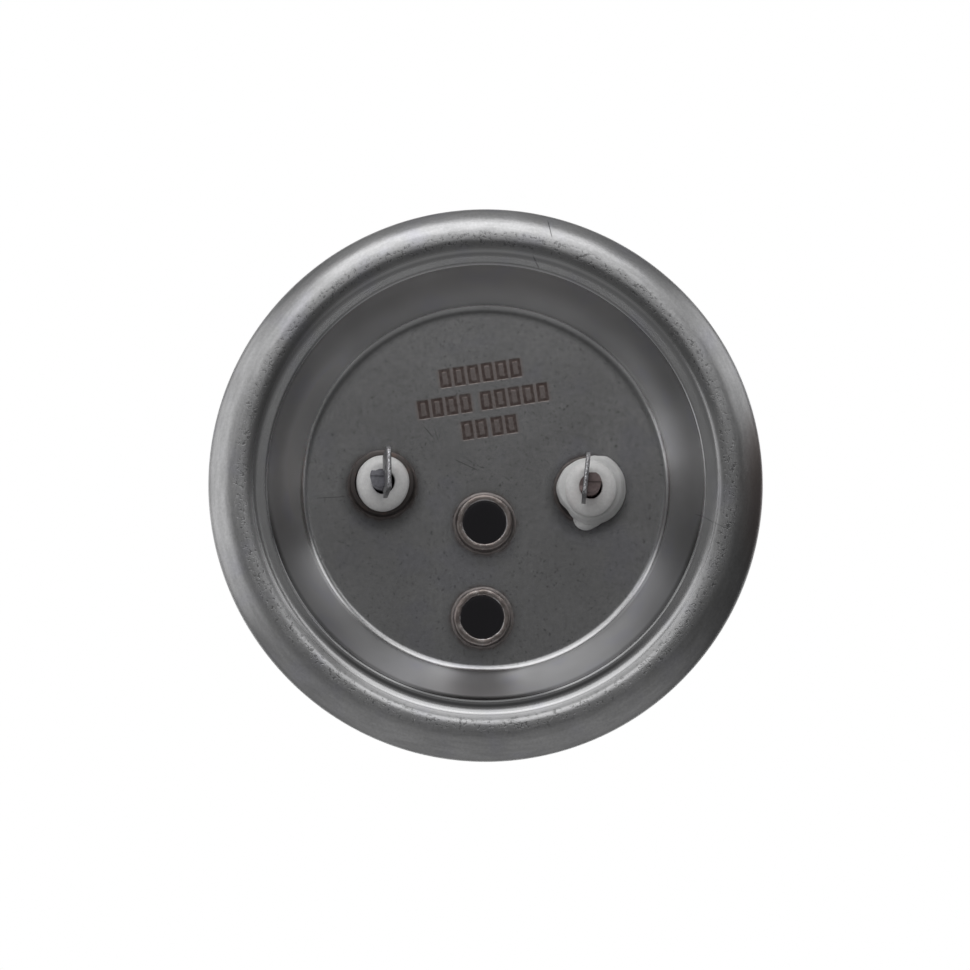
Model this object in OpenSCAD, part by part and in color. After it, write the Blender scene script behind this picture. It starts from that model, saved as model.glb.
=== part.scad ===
// Flange-mounted water heater element with two thermostat sleeves.
// Every shape is drawn about the flange axis, with +z out of the dish towards
// the terminals and z = 0 at the foot of the rim. in_row_frame() then turns it
// so that the terminals face -Y and the element runs along +Y. All sizes are in mm.

/* [Flange] */
// Overall diameter of the rim
flange_d = 64; // [62:0.5:67]
// Thickness of the pressed sheet
sheet_t = 1.2; // [1:0.1:1.4]
// Straight skirt between the rim's foot and its shoulder
skirt_h = 2; // [1:0.1:3]
// Radius of the rim's outer shoulder
shoulder_bend = 3.65; // [3.2:0.05:4]
// Radius on the inner side of the rim's crest
crest_bend = 2.8; // [2.4:0.1:3.2]
// Angle of the slope from the crest down to the ledge
crest_slope = 33; // [25:1:36]
// Drop from the crest to the ledge
ledge_drop = 0.7; // [0.6:0.05:1.1]
// Radius of the hollow corner between slope and ledge
ledge_bend = 0.8; // [0.6:0.1:1]
// Width of the flat part of the ledge
ledge_w = 0.7; // [0.5:0.1:1.2]
// Radius of the struck edge where the ledge turns down into the dish
mouth_bend = 0.3; // [0.2:0.05:0.6]
// Depth of the dish below the ledge
dish_depth = 7.25; // [6:0.05:9]
// Steepness of the dish's wall
wall_angle = 61.5; // [58:0.5:70]
// Radius of the hollow corner between wall and floor
floor_bend = 1.2; // [0.8:0.1:1.6]

/* [Heating tube] */
// Outer diameter of the sheath
sheath_d = 7.4; // [7:0.1:8]
// Wall of the sheath
sheath_wall = 0.6; // [0.5:0.05:0.8]
// Distance between the two legs
leg_pitch = 24; // [22:0.5:26]
// Length of the loop beyond the flange floor
loop_len = 270; // [180:5:320]
// How far the sheath's ends stand above the floor of the dish
sheath_stand = 2.4; // [2:0.1:4]
// Unheated length of each leg, measured from the sheath's end
cold_len = 50; // [35:1:70]
// Outer diameter of the wound resistance coil
coil_d = 3; // [2.6:0.1:3.4]
// Diameter of the hollow in the resistance coil
coil_bore = 1.9; // [1.5:0.1:2.2]

/* [Terminals] */
// Diameter of the terminal pins
pin_d = 2.4; // [2.3:0.1:2.6]
// Length of each pin beyond its insulator
pin_out = 4.8; // [4:0.1:7]
// Length of the thin stub at a pin's inner end, inside the coil
pin_stub = 8; // [5:0.5:12]
// Distance of the tab's flat from the pin's axis
pin_flat = 0.3; // [0:0.05:0.8]
// Distance of the nipped flat on top of the left pin's end from the pin's axis
pin_nip_left = 0.6; // [0.5:0.05:1.1]
// Distance of the nipped flat on top of the right pin's end from the pin's axis
pin_nip_right = 1.05; // [0.5:0.05:1.1]
// Slope of the two faces that the nippers left on the pin's end
nip_angle = 20; // [0:1:35]
// Length of insulator that stands out of the sheath
insulator_out = 3.2; // [2.5:0.1:6]
// Length of insulator inside the sheath
insulator_in = 2.5; // [2:0.1:5]
// Radius on the insulator's outer edge
insulator_round = 1.2; // [0.3:0.1:1.4]
// Length of the sealing plug behind the insulator
plug_len = 3.5; // [2:0.1:6]
// Width of the push-on tabs
tab_w = 4.8; // [4.8:0.1:6.3]
// Thickness of the push-on tabs
tab_t = 0.5; // [0.5:0.1:0.8]
// Length of the push-on tabs
tab_len = 12.5; // [11:0.1:15]
// Gap between a tab's foot and the insulator
tab_gap = 0.8; // [0.6:0.1:2]
// Turn of the left tab about its pin
tab_turn_left = 2.5; // [-8:0.5:8]
// Turn of the right tab about its pin
tab_turn_right = -4.5; // [-8:0.5:8]
// Lean of the left tab towards the flange's axis
tab_lean_left = 3.5; // [0:0.5:6]
// Lean of the right tab towards the flange's axis
tab_lean_right = 1; // [0:0.5:6]
// How far the left tab sits above its pin's axis
tab_lift_left = 0.2; // [0:0.1:0.8]
// How far the right tab sits above its pin's axis
tab_lift_right = 0.1; // [0:0.1:0.8]
// Thickness of the surplus sealant beside the right sheath
surplus_w = 0.35; // [0.3:0.05:0.6]
// How far below the insulator's face the surplus sealant ends
surplus_drop = 0.1; // [0.1:0.1:1.2]

/* [Thermostat sleeves] */
// Outer diameter of the sleeves
sleeve_d = 6.6; // [6.3:0.1:7]
// Bore of the sleeves
sleeve_bore = 5; // [4.5:0.1:5.5]
// Distance between the axes of the two sleeves
sleeve_pitch = 11; // [9.5:0.1:12]
// Distance of the lower sleeve's axis from the corner of the floor
sleeve_inset = 6; // [5.6:0.1:7]
// Length of the upper sleeve beyond the flange floor
upper_sleeve_len = 215; // [150:5:240]
// Length of the lower sleeve beyond the flange floor
lower_sleeve_len = 240; // [150:5:260]
// How far the sleeves stand above the floor of the dish
sleeve_stand = 2; // [1.2:0.1:3]

/* [Brazing] */
// Gap between each tube and its hole, filled with brazing metal
braze_gap = 0.08; // [0.05:0.01:0.15]
// Leg of the brazed fillets
braze_leg = 0.35; // [0.3:0.05:0.8]

/* [Anode nut] */
// Height of the nut's axis above the flange's axis
anode_y = 12; // [10.5:0.1:12.5]
// Tapping bore of the nut
anode_bore = 5; // [4.2:0.1:5]
// Width across the flats of the nut
anode_af = 10; // [9:0.5:11]
// Height of the nut with its collar
anode_h = 8; // [6:0.5:12]
// Leg of the weld around the nut's collar
anode_weld_leg = 0.8; // [0.5:0.1:1.2]

/* [Hidden] */
$fn = 96;

// How far a cutting shape runs past the face that it cuts
cut = 1;
// Largest turn between two points of a bend in the sheet
bend_step = 6;

// Heights along the flange axis
crest_z = skirt_h + shoulder_bend;
ledge_z = crest_z - ledge_drop;
floor_z = ledge_z - dish_depth;
tank_z = floor_z - sheet_t;
sheath_end_z = floor_z + sheath_stand;
insulator_end_z = sheath_end_z + insulator_out;
insulator_foot_z = sheath_end_z - insulator_in;
plug_foot_z = insulator_foot_z - plug_len;
pin_end_z = insulator_end_z + pin_out;
weld_half = (pin_out - tab_gap) / 2;
weld_z = pin_end_z - weld_half;
cold_z = sheath_end_z - cold_len;

// Bends on the tank side of the ledge, which is struck flat for the gasket
ledge_back_bend = 0.9;
mouth_back_bend = 0.2;

// Radii of the flange's corners, before they are rounded
crest_flat = 0.15;
rim_r = flange_d / 2;
crest_r = rim_r - shoulder_bend - crest_flat - crest_bend * tan(crest_slope / 2);
slope_foot_r = crest_r - ledge_drop / tan(crest_slope);
mouth_r = slope_foot_r - ledge_bend * tan(crest_slope / 2) - ledge_w - mouth_bend * tan(wall_angle / 2);
floor_r = mouth_r - dish_depth / tan(wall_angle);

// Heating tube
leg_x = leg_pitch / 2;
sheath_r = sheath_d / 2;
sheath_bore_r = sheath_r - sheath_wall;
loop_z = tank_z - loop_len + leg_x + sheath_r;
bore_clearance = 0.05;
pin_clearance = 0.1;
insulator_r = sheath_bore_r - bore_clearance;
pin_r = pin_d / 2;
pin_hole_r = pin_r + pin_clearance;
stub_r = coil_bore / 2;

// Surplus sealant of the right terminal: the collar's offset from the pin, and
// the [x, y, radius] of the balls that make its drip
surplus_r = sheath_r + surplus_w;
surplus_shift = [0.2, -0.2];
surplus_skirt = 1;
surplus_h = insulator_out - surplus_drop;
surplus_shoulder = 2.6;
surplus_turn = 70;
surplus_clearance = 0.05;
drip = [[0.9, -2.2, 1.9], [0.35, -2.95, 1.55], [-0.25, -3.3, 1.55]];
drip_sink = 0.2;

// Sleeves and the plugs welded onto their far ends
lower_sleeve_y = sleeve_inset - floor_r;
upper_sleeve_y = lower_sleeve_y + sleeve_pitch;
sleeve_r = sleeve_d / 2;
sleeve_bore_r = sleeve_bore / 2;
sleeve_lead = 0.25;
plug_t = 1.2;
plug_dome = 0.7;

// Push-on tabs
tab_corner = 0.95;
tab_edge = 0.15;
tab_bevel = 0.8;
tab_hole_d = 1.4;
tab_hole_below_tip = 4;

// Anode nut
anode_collar_w = 1.1;
anode_collar_r = anode_af / 2 + anode_collar_w;
anode_collar_h = 1.5;
anode_lead = 0.5;
anode_edge = 0.2;
anode_chamfer = 30;

STEEL = "#8f8f93";
SHEATH_STEEL = "#9b9a98";
BRAZE = "#6d5550";
CERAMIC = "#e9e7e2";
SEALANT = "#d9d8d4";
TAB_STEEL = "#77777a";

// A unit vector along v
function unit(v) = v / norm(v);
// The unit normal on the right of direction d
function right_of(d) = [d[1], -d[0]];
// Points on a circle's arc about c, from angle a to angle b
function arc(c, r, a, b, steps = 8) =
    [for (i = [0:steps]) c + r * [cos(a + (b - a) * i / steps), sin(a + (b - a) * i / steps)]];

// Points that round the corner q between p and s with radius r
function rounded_corner(p, q, s, r) =
    let (
        u = unit(q - p),
        v = unit(s - q),
        turn = atan2(cross(u, v), u * v),
        side = sign(turn),
        start_normal = right_of(u),
        centre = q - u * r * tan(abs(turn) / 2) - side * r * start_normal,
        start = atan2(start_normal[1], start_normal[0]),
        steps = ceil(abs(turn) / bend_step)
    )
    [for (i = [0:steps])
        let (a = start + turn * i / steps)
        centre + side * r * [cos(a), sin(a)]];

// A line through the points, with each corner between its ends rounded by its own bend
function rounded_line(points, bends) =
    let (last = len(points) - 1)
    concat(
        [points[0]],
        [for (i = [1:last - 1])
            each rounded_corner(points[i - 1], points[i], points[i + 1], bends[i])],
        [points[last]]
    );

// The point one thickness behind q, on a line that comes from p and goes on to s
function behind(p, q, s, thickness) =
    let (
        before = right_of(unit(p == q ? s - q : q - p)),
        after = right_of(unit(s == q ? q - p : s - q))
    )
    q - thickness * (before + after) / (1 + before * after);

// Cross-section of a pressed sheet: its face follows the corners, given as
// [r, z, bend on the face, bend on the back], and its back lies one thickness behind.
module pressed_section(corners, thickness) {
    last = len(corners) - 1;
    face = [for (c = corners) [c[0], c[1]]];
    back = [for (i = [0:last])
        behind(face[max(i - 1, 0)], face[i], face[min(i + 1, last)], thickness)];
    back_line = rounded_line(back, [for (c = corners) c[3]]);
    polygon(concat(
        rounded_line(face, [for (c = corners) c[2]]),
        [for (i = [len(back_line) - 1:-1:0]) back_line[i]]
    ));
}

// Turns the flange's own axes into the row frame
module in_row_frame() {
    rotate([90, 0, 0]) children();
}

// A straight tube about the z axis, or a rod if the bore is 0
module tube(r, bore_r, z_low, z_high) {
    translate([0, 0, z_low]) linear_extrude(z_high - z_low) ring(r, bore_r);
}

module ring(r, bore_r) {
    difference() {
        circle(r);
        if (bore_r > 0) circle(bore_r);
    }
}

// A tube that follows the heating loop, from z_top down one leg and up the other
module loop_tube(r, bore_r, z_top) {
    for (side = [-1, 1])
        translate([side * leg_x, 0, 0]) tube(r, bore_r, loop_z, z_top);
    translate([0, 0, loop_z])
        rotate([-90, 0, 0])
            rotate_extrude(angle = 180)
                translate([leg_x, 0]) ring(r, bore_r);
}

// Pressed dish with its rolled rim, pierced for the tubes
module flange() {
    corners = [
        [rim_r, 0, 0, 0],
        [rim_r, crest_z, shoulder_bend, shoulder_bend - sheet_t],
        [crest_r, crest_z, crest_bend, crest_bend - sheet_t],
        [slope_foot_r, ledge_z, ledge_bend, ledge_back_bend],
        [mouth_r, ledge_z, mouth_bend, mouth_back_bend],
        [floor_r, floor_z, floor_bend, floor_bend + sheet_t],
        [0, floor_z, 0, 0]
    ];
    color(STEEL) in_row_frame() difference() {
        rotate_extrude() pressed_section(corners, sheet_t);
        for (side = [-1, 1])
            translate([side * leg_x, 0, 0]) tube_hole(sheath_r);
        for (y = [upper_sleeve_y, lower_sleeve_y])
            translate([0, y, 0]) tube_hole(sleeve_r);
    }
}

module tube_hole(tube_r) {
    translate([0, 0, tank_z - cut]) cylinder(r = tube_r + braze_gap, h = sheet_t + 2 * cut);
}

module heater_sheath() {
    color(SHEATH_STEEL) in_row_frame() loop_tube(sheath_r, sheath_bore_r, sheath_end_z);
}

// Packed insulating powder: a jacket around the pins and the coil, and a core inside the coil
module magnesia_fill() {
    color(CERAMIC) in_row_frame() {
        loop_tube(sheath_bore_r, coil_d / 2, cold_z);
        for (side = [-1, 1])
            translate([side * leg_x, 0, 0]) tube(sheath_bore_r, pin_r, cold_z, plug_foot_z);
        loop_tube(stub_r, 0, cold_z - pin_stub);
    }
}

// The close-wound turns, as one tube of their outer and inner diameters
module resistance_coil() {
    color(TAB_STEEL) in_row_frame() loop_tube(coil_d / 2, stub_r, cold_z);
}

// Places a tab's drawing at its weld: x away from the pin, towards the flange's axis
module at_weld(side, turn, lean) {
    translate([side * leg_x, 0, weld_z])
        mirror([side > 0 ? 1 : 0, 0, 0])
            rotate([0, lean, side > 0 ? -turn : turn]) children();
}

// A pin with a flat for its tab, a nipped end, and a thin stub that the coil is wound on
module terminal_pin(side, turn, lean, nip) {
    color(TAB_STEEL) in_row_frame() {
        difference() {
            translate([side * leg_x, 0, 0]) tube(pin_r, 0, cold_z, pin_end_z);
            at_weld(side, turn, lean)
                translate([pin_flat, -pin_d, -weld_half]) cube([pin_d, 2 * pin_d, pin_out]);
            translate([side * leg_x, 0, 0]) nipped_off(nip);
        }
        translate([side * leg_x, 0, 0]) tube(stub_r, 0, cold_z - pin_stub, cold_z);
    }
}

// What the nippers took off a pin's end: two slopes from a ridge, and a flat on top
module nipped_off(nip) {
    far = 2 * pin_d;
    fall = tan(nip_angle);
    profile = [
        [-far, pin_end_z - far * fall], [0, pin_end_z], [nip, pin_end_z - nip * fall],
        [nip, weld_z - weld_half], [far, weld_z - weld_half],
        [far, pin_end_z + far], [-far, pin_end_z + far]
    ];
    translate([-far, 0, 0]) rotate([90, 0, 90]) linear_extrude(2 * far) polygon(profile);
}

// Push-on tab, drawn with its foot at z = 0 and its faces at x = 0 and x = tab_t
module push_on_tab() {
    half = tab_w / 2;
    outline = [
        [-half, 0], [half, 0], [half, tab_len - tab_corner], [half - tab_corner, tab_len],
        [tab_corner - half, tab_len], [-half, tab_len - tab_corner]
    ];
    edge_profile = [
        [0, -cut], [tab_t, -cut], [tab_t, tab_len - tab_bevel], [tab_t - tab_edge, tab_len],
        [tab_t - tab_edge, tab_len + cut], [tab_edge, tab_len + cut], [tab_edge, tab_len],
        [0, tab_len - tab_bevel]
    ];
    difference() {
        intersection() {
            rotate([90, 0, 90]) linear_extrude(tab_t) polygon(outline);
            translate([0, tab_w, 0]) rotate([90, 0, 0]) linear_extrude(2 * tab_w) polygon(edge_profile);
        }
        translate([-cut, 0, tab_len - tab_hole_below_tip])
            rotate([0, 90, 0]) cylinder(d = tab_hole_d, h = tab_t + 2 * cut);
    }
}

// The tab lies on its pin's flat, on the side towards the flange's axis
module terminal_tab(side, turn, lean, lift) {
    color(TAB_STEEL) in_row_frame()
        at_weld(side, turn, lean)
            translate([pin_flat, lift, -weld_half]) push_on_tab();
}

module insulator(side) {
    color(CERAMIC) in_row_frame()
        translate([side * leg_x, 0, 0]) insulator_shape(pin_hole_r);
}

// The insulator with a hole of the given radius, or without one if that is 0
module insulator_shape(hole_r) {
    round_centre = [insulator_r - insulator_round, insulator_end_z - insulator_round];
    rotate_extrude() polygon(concat(
        [[hole_r, insulator_foot_z], [insulator_r, insulator_foot_z]],
        arc(round_centre, insulator_round, 0, 90),
        [[hole_r, insulator_end_z]]
    ));
}

// Sealant behind the insulator, filling the sheath's bore around the pin
module seal_plug() {
    tube(sheath_bore_r, pin_r, plug_foot_z, insulator_foot_z);
}

module seal_left() {
    color(SEALANT) in_row_frame() translate([-leg_x, 0, 0]) seal_plug();
}

// The right plug was overfilled: a collar of surplus sealant lies over the
// sheath's end, and a drip has run down from it onto the floor of the dish.
module seal_right() {
    foot = floor_z - cut;
    reach = 3 * surplus_r;
    braze_r = sheath_r + braze_leg + surplus_clearance;
    color(SEALANT) in_row_frame() translate([leg_x, 0, 0]) {
        seal_plug();
        difference() {
            union() {
                translate([surplus_shift[0], surplus_shift[1], sheath_end_z])
                    rotate_extrude() surplus_section();
                for (d = drip)
                    translate([d[0], d[1], floor_z + d[2] - drip_sink]) sphere(d[2]);
            }
            translate([0, 0, foot]) cylinder(r = sheath_r, h = sheath_end_z - foot);
            insulator_shape(0);
            translate([0, 0, foot]) cylinder(r = braze_r, h = braze_r - sheath_r + cut);
            translate([-reach, -reach, floor_z - reach]) cube([2 * reach, 2 * reach, reach]);
        }
    }
}

// Half section of the collar, from its centre to its rounded edge
module surplus_section() {
    lip = surplus_skirt / 2;
    shoulder_z = surplus_h - surplus_shoulder * sin(surplus_turn);
    polygon(concat(
        [[0, surplus_h], [0, -surplus_skirt]],
        arc([surplus_r - lip, lip - surplus_skirt], lip, -90, 0, 5),
        arc([surplus_r - surplus_shoulder, shoulder_z], surplus_shoulder, 0, surplus_turn, 6)
    ));
}

// A thin-walled pocket for a thermostat bulb, open towards the terminals
module sleeve(y, length) {
    top = floor_z + sleeve_stand;
    foot = tank_z - length;
    section = [
        [sleeve_bore_r, foot], [sleeve_r, foot],
        [sleeve_r, top - sleeve_lead], [sleeve_r - sleeve_lead, top],
        [sleeve_bore_r + sleeve_lead, top], [sleeve_bore_r, top - 2 * sleeve_lead]
    ];
    color(SHEATH_STEEL) in_row_frame()
        translate([0, y, 0]) rotate_extrude() polygon(section);
}

// The plug that closes a sleeve's far end: a disc against the tube's end face, with a domed head
module sleeve_plug(y, length) {
    seat = tank_z - length;
    tip = seat - plug_t - plug_dome;
    dome_r = (pow(sleeve_r, 2) + pow(plug_dome, 2)) / (2 * plug_dome);
    half_angle = asin(sleeve_r / dome_r);
    section = concat(
        [[0, seat], [sleeve_r, seat]],
        arc([0, tip + dome_r], dome_r, half_angle - 90, -90)
    );
    color(SHEATH_STEEL) in_row_frame()
        translate([0, y, 0]) rotate_extrude() polygon(section);
}

// Brazing metal: a fillet on each face of the flange, joined by the film in the hole
module braze(x, y, tube_r) {
    hole_r = tube_r + braze_gap;
    toe_r = tube_r + braze_leg;
    section = concat(
        [[tube_r, tank_z - braze_leg], [tube_r, floor_z + braze_leg]],
        arc([toe_r, floor_z + braze_leg], braze_leg, 180, 270, 5),
        [[hole_r, floor_z], [hole_r, tank_z]],
        arc([toe_r, tank_z - braze_leg], braze_leg, 90, 180, 5)
    );
    color(BRAZE) in_row_frame()
        translate([x, y, 0]) rotate_extrude() polygon(section);
}

// Hexagon nut with a round collar, its bore open towards the tank
module anode_nut() {
    mouth_z = tank_z - anode_h;
    chamfer_r = anode_af / 2 - anode_edge;
    color(SHEATH_STEEL) in_row_frame() translate([0, anode_y, 0]) difference() {
        union() {
            translate([0, 0, tank_z - anode_collar_h]) cylinder(r = anode_collar_r, h = anode_collar_h);
            intersection() {
                translate([0, 0, mouth_z]) cylinder(d = anode_af / cos(30), h = anode_h, $fn = 6);
                translate([0, 0, mouth_z])
                    cylinder(r1 = chamfer_r, r2 = chamfer_r + anode_h / tan(anode_chamfer), h = anode_h);
            }
        }
        translate([0, 0, mouth_z - cut]) cylinder(d = anode_bore, h = anode_h + 2 * cut);
        translate([0, 0, mouth_z - cut])
            cylinder(d1 = anode_bore + 2 * (anode_lead + cut), d2 = anode_bore, h = anode_lead + cut);
    }
}

// Rounded weld bead in the corner between the collar and the flange
module anode_nut_weld() {
    corner = [anode_collar_r, tank_z];
    color(BRAZE) in_row_frame()
        translate([0, anode_y, 0])
            rotate_extrude() polygon(concat([corner], arc(corner, anode_weld_leg, 0, -90, 6)));
}

flange();
heater_sheath();
magnesia_fill();
resistance_coil();
terminal_pin(-1, tab_turn_left, tab_lean_left, pin_nip_left);  // terminal_pin_left
terminal_pin(1, tab_turn_right, tab_lean_right, pin_nip_right);  // terminal_pin_right
terminal_tab(-1, tab_turn_left, tab_lean_left, tab_lift_left);  // terminal_tab_left
terminal_tab(1, tab_turn_right, tab_lean_right, tab_lift_right);  // terminal_tab_right
insulator(-1);  // insulator_left
insulator(1);  // insulator_right
seal_left();
seal_right();
sleeve(upper_sleeve_y, upper_sleeve_len);  // sleeve_upper
sleeve(lower_sleeve_y, lower_sleeve_len);  // sleeve_lower
sleeve_plug(upper_sleeve_y, upper_sleeve_len);  // sleeve_plug_upper
sleeve_plug(lower_sleeve_y, lower_sleeve_len);  // sleeve_plug_lower
braze(-leg_x, 0, sheath_r);  // braze_heater_left
braze(leg_x, 0, sheath_r);  // braze_heater_right
braze(0, upper_sleeve_y, sleeve_r);  // braze_sleeve_upper
braze(0, lower_sleeve_y, sleeve_r);  // braze_sleeve_lower
anode_nut();
anode_nut_weld();
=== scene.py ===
import math

import bmesh
import bpy
from mathutils import Euler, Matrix, Vector, geometry, noise


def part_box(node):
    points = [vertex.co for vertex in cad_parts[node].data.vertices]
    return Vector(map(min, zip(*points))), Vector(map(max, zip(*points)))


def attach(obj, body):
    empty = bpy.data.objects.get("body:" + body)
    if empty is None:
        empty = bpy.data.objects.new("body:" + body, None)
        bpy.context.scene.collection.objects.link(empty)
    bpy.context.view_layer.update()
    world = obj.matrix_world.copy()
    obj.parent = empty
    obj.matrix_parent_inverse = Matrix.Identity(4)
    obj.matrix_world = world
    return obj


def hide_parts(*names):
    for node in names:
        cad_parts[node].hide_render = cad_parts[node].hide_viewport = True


# Looks of a flange-mounted water heater element. Lengths are in mm about the
# flange's axis, x to the right, y up and z out of the dish towards the terminals.
# place() turns such a point into the row frame, in metres.
MM = 0.001
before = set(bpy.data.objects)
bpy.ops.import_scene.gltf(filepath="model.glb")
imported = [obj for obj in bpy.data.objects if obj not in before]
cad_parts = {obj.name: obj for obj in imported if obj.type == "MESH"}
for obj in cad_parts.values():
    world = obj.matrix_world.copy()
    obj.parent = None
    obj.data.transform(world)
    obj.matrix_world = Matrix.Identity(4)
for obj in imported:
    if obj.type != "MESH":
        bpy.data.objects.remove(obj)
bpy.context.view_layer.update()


def place(x, y, z):
    return Vector((x, -z, y)) * MM


def front(node):
    """How far a node reaches out of the dish."""
    return -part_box(node)[0].y / MM


def back(node):
    return -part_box(node)[1].y / MM


def centre(node):
    low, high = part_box(node)
    middle = (low + high) / 2 / MM
    return middle.x, middle.z


def radius(node):
    low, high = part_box(node)
    return (high.x - low.x) / 2 / MM


# Pressed flange
RIM_R = radius("flange")
CREST_Z = front("flange")
SHEET = 1.2
SHOULDER_BEND = 3.65
CREST_FLAT = 0.15
CREST_BEND = 2.8
CREST_SLOPE = math.radians(33)
LEDGE_DROP = 0.58
LEDGE_BEND = 1.5
LEDGE_BACK_BEND = 1.6
LEDGE_W = 0.588
MOUTH_BEND = 0.45
MOUTH_BACK_BEND = 0.2
DISH_DEPTH = 7.37
WALL_ANGLE = math.radians(61.9)
FLOOR_BEND = 1.2
FOOT_EDGE = 0.1
FLOOR_SET = -0.12
LEDGE_Z = CREST_Z - LEDGE_DROP
FLOOR_Z = LEDGE_Z - DISH_DEPTH
TANK_Z = FLOOR_Z - SHEET

# Tubes and terminals
LEG_X = centre("braze_heater_right")[0]
SHEATH_R = 3.7
SHEATH_BORE_R = 3.1
SHEATH_END_Z = front("heater_sheath")
LOOP_R = LEG_X
LOOP_Z = back("heater_sheath") + LOOP_R + SHEATH_R
INSULATOR_R = radius("insulator_left")
INSULATOR_END_Z = front("insulator_left")
INSULATOR_FOOT_Z = back("insulator_left")
INSULATOR_ROUND = 1.2
PIN_HOLE_R = 1.3
BEAD_SAG = 0.45
SLEEVE_R = 3.3
SLEEVE_BORE_R = 2.5
SLEEVE_END_Z = front("sleeve_upper")
TAB_TIP_Z = front("terminal_tab_left")
BRAZE_GAP = 0.08
BRAZE_LEG = 0.35


# Meshes

def new_object(name, bm, material, sharp_deg=35):
    """Turns a bmesh into a smooth shaded object that keeps edges over sharp_deg sharp."""
    bmesh.ops.recalc_face_normals(bm, faces=bm.faces)
    mesh = bpy.data.meshes.new(name)
    bm.to_mesh(mesh)
    bm.free()
    mesh.shade_smooth()
    mesh.set_sharp_from_angle(angle=math.radians(sharp_deg))
    mesh.materials.append(material)
    piece = bpy.data.objects.new(name, mesh)
    bpy.context.scene.collection.objects.link(piece)
    return piece


def stand_for(piece, node):
    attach(piece, "root")
    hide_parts(node)
    return piece


def arc(cx, cz, r, start, end, steps):
    """Points on a circle's arc in the r, z plane, with angles in degrees."""
    turns = (math.radians(start + (end - start) * i / steps) for i in range(steps + 1))
    return [(cx + r * math.cos(t), cz + r * math.sin(t)) for t in turns]


def bridge(bm, ring_a, ring_b):
    count = len(ring_a)
    for i in range(count):
        j = (i + 1) % count
        bm.faces.new((ring_a[i], ring_a[j], ring_b[j], ring_b[i]))


def circle(bm, x, y, z, r, count):
    turns = (math.tau * i / count for i in range(count))
    return [bm.verts.new(place(x + r * math.cos(t), y + r * math.sin(t), z)) for t in turns]


def revolve(profile, x, y, count=96):
    """A solid of revolution. A profile that starts and ends on its axis gets two poles."""
    bm = bmesh.new()
    on_axis = profile[0][0] < 1e-6
    rings = [circle(bm, x, y, z, r, count) for r, z in (profile[1:-1] if on_axis else profile)]
    for ring, after in zip(rings, rings[1:]):
        bridge(bm, ring, after)
    if on_axis:
        for ring, (_, z) in ((rings[0], profile[0]), (rings[-1], profile[-1])):
            pole = bm.verts.new(place(x, y, z))
            for i in range(count):
                bm.faces.new((ring[i], ring[(i + 1) % count], pole))
    else:
        bridge(bm, rings[-1], rings[0])
    return bm


def roughen(bm, amount, grain, seed=0.0, keep=None):
    """Moves the points of a bmesh along their normals by a fixed noise, in mm."""
    bm.normal_update()
    shift = Vector((seed, seed, seed))
    for v in bm.verts:
        if keep is None or not keep(v.co):
            v.co += v.normal * amount * MM * noise.noise(v.co / (grain * MM) + shift)
    return bm


def refined(node, bevel, segments=2):
    """A copy of a node's solid with its flat faces made whole and its edges rounded."""
    bm = bmesh.new()
    bm.from_mesh(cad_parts[node].data)
    bmesh.ops.remove_doubles(bm, verts=bm.verts, dist=1e-7)
    bmesh.ops.dissolve_limit(
        bm, angle_limit=math.radians(2), verts=bm.verts, edges=bm.edges)
    edges = [e for e in bm.edges
             if len(e.link_faces) == 2 and e.calc_face_angle() > math.radians(25)]
    bmesh.ops.bevel(
        bm, geom=edges, offset=bevel * MM, segments=segments, profile=0.5, affect="EDGES",
        clamp_overlap=True)
    return bm


# Pressed flange

def rounded_corner(before, corner, after, bend, step_deg=4):
    """Points along the arc that rounds a corner of the section."""
    u = (corner - before).normalized()
    v = (after - corner).normalized()
    turn = math.atan2(u.cross(v), u.dot(v))
    side = math.copysign(1, turn)
    normal = Vector((u.y, -u.x))
    middle = corner - u * bend * math.tan(abs(turn) / 2) - side * bend * normal
    start = math.atan2(normal.y, normal.x)
    steps = math.ceil(abs(math.degrees(turn)) / step_deg)
    turns = (start + turn * i / steps for i in range(steps + 1))
    return [middle + side * bend * Vector((math.cos(a), math.sin(a))) for a in turns]


def rounded_line(points, bends):
    """The line from inside the first corner to inside the last one, each corner rounded."""
    line = []
    for i in range(1, len(points) - 1):
        line += rounded_corner(points[i - 1], points[i], points[i + 1], bends[i])
    return [(p.x, p.y) for p in line]


def behind(before, corner, after):
    """The point one sheet's thickness behind a corner of the section."""
    u = (corner - before or after - corner).normalized()
    v = (after - corner or corner - before).normalized()
    normal_in, normal_out = Vector((u.y, -u.x)), Vector((v.y, -v.x))
    return corner - SHEET * (normal_in + normal_out) / (1 + normal_in.dot(normal_out))


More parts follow.
